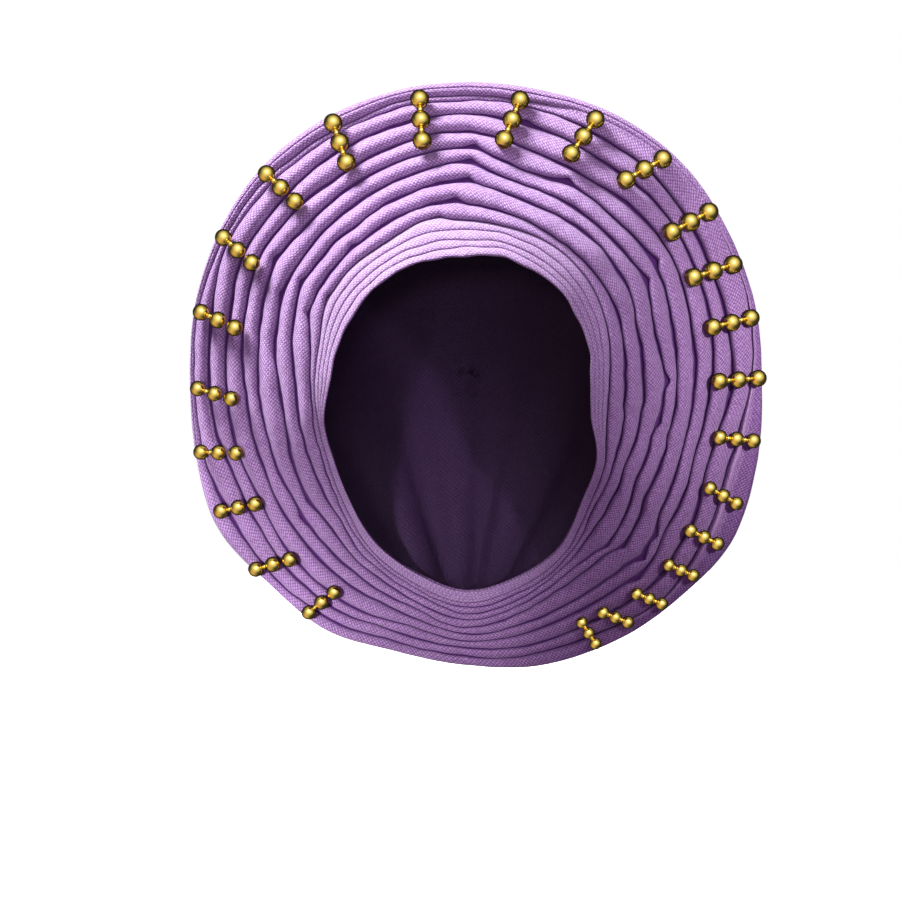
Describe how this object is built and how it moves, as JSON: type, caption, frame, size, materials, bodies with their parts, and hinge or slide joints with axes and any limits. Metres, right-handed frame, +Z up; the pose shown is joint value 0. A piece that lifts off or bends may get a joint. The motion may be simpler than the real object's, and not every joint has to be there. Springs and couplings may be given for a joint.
{
  "type": "tied gele head tie",
  "caption": "Pleated cloth head tie worn as an open fan round the face, with a crown over the head, a nape tie and bars of gold beads.",
  "frame": {"origin": "head seat: the top of the wearer's head, on the inside of the crown", "axes": "+Z up as worn, -Y the way the wearer faces, +X towards the right as seen from the front"},
  "size_m": [0.2878, 0.1794, 0.2929],
  "materials": {
    "pleated_fan": "lilac basket-weave cloth, faint sheen",
    "face_band": "lilac basket-weave cloth, fine folds",
    "crown_cap": "lilac basket-weave cloth, plain",
    "nape_tie": "lilac basket-weave cloth, tied",
    "gold_beads": "polished gold plated beads"
  },
  "bodies": {
    "root": {"pleated_fan": "pleated_fan", "face_band": "face_band", "crown_cap": "crown_cap", "nape_tie": "nape_tie", "bead_bar_01": "gold_beads", "bead_bar_02": "gold_beads", "bead_bar_03": "gold_beads", "bead_bar_04": "gold_beads", "bead_bar_05": "gold_beads", "bead_bar_06": "gold_beads", "bead_bar_07": "gold_beads", "bead_bar_08": "gold_beads", "bead_bar_09": "gold_beads", "bead_bar_10": "gold_beads", "bead_bar_11": "gold_beads", "bead_bar_12": "gold_beads", "bead_bar_13": "gold_beads", "bead_bar_14": "gold_beads", "bead_bar_15": "gold_beads", "bead_bar_16": "gold_beads", "bead_bar_17": "gold_beads", "bead_bar_18": "gold_beads", "bead_bar_19": "gold_beads", "bead_bar_20": "gold_beads", "bead_bar_21": "gold_beads", "bead_bar_22": "gold_beads", "bead_bar_23": "gold_beads", "bead_bar_24": "gold_beads"}
  },
  "joints": []
}
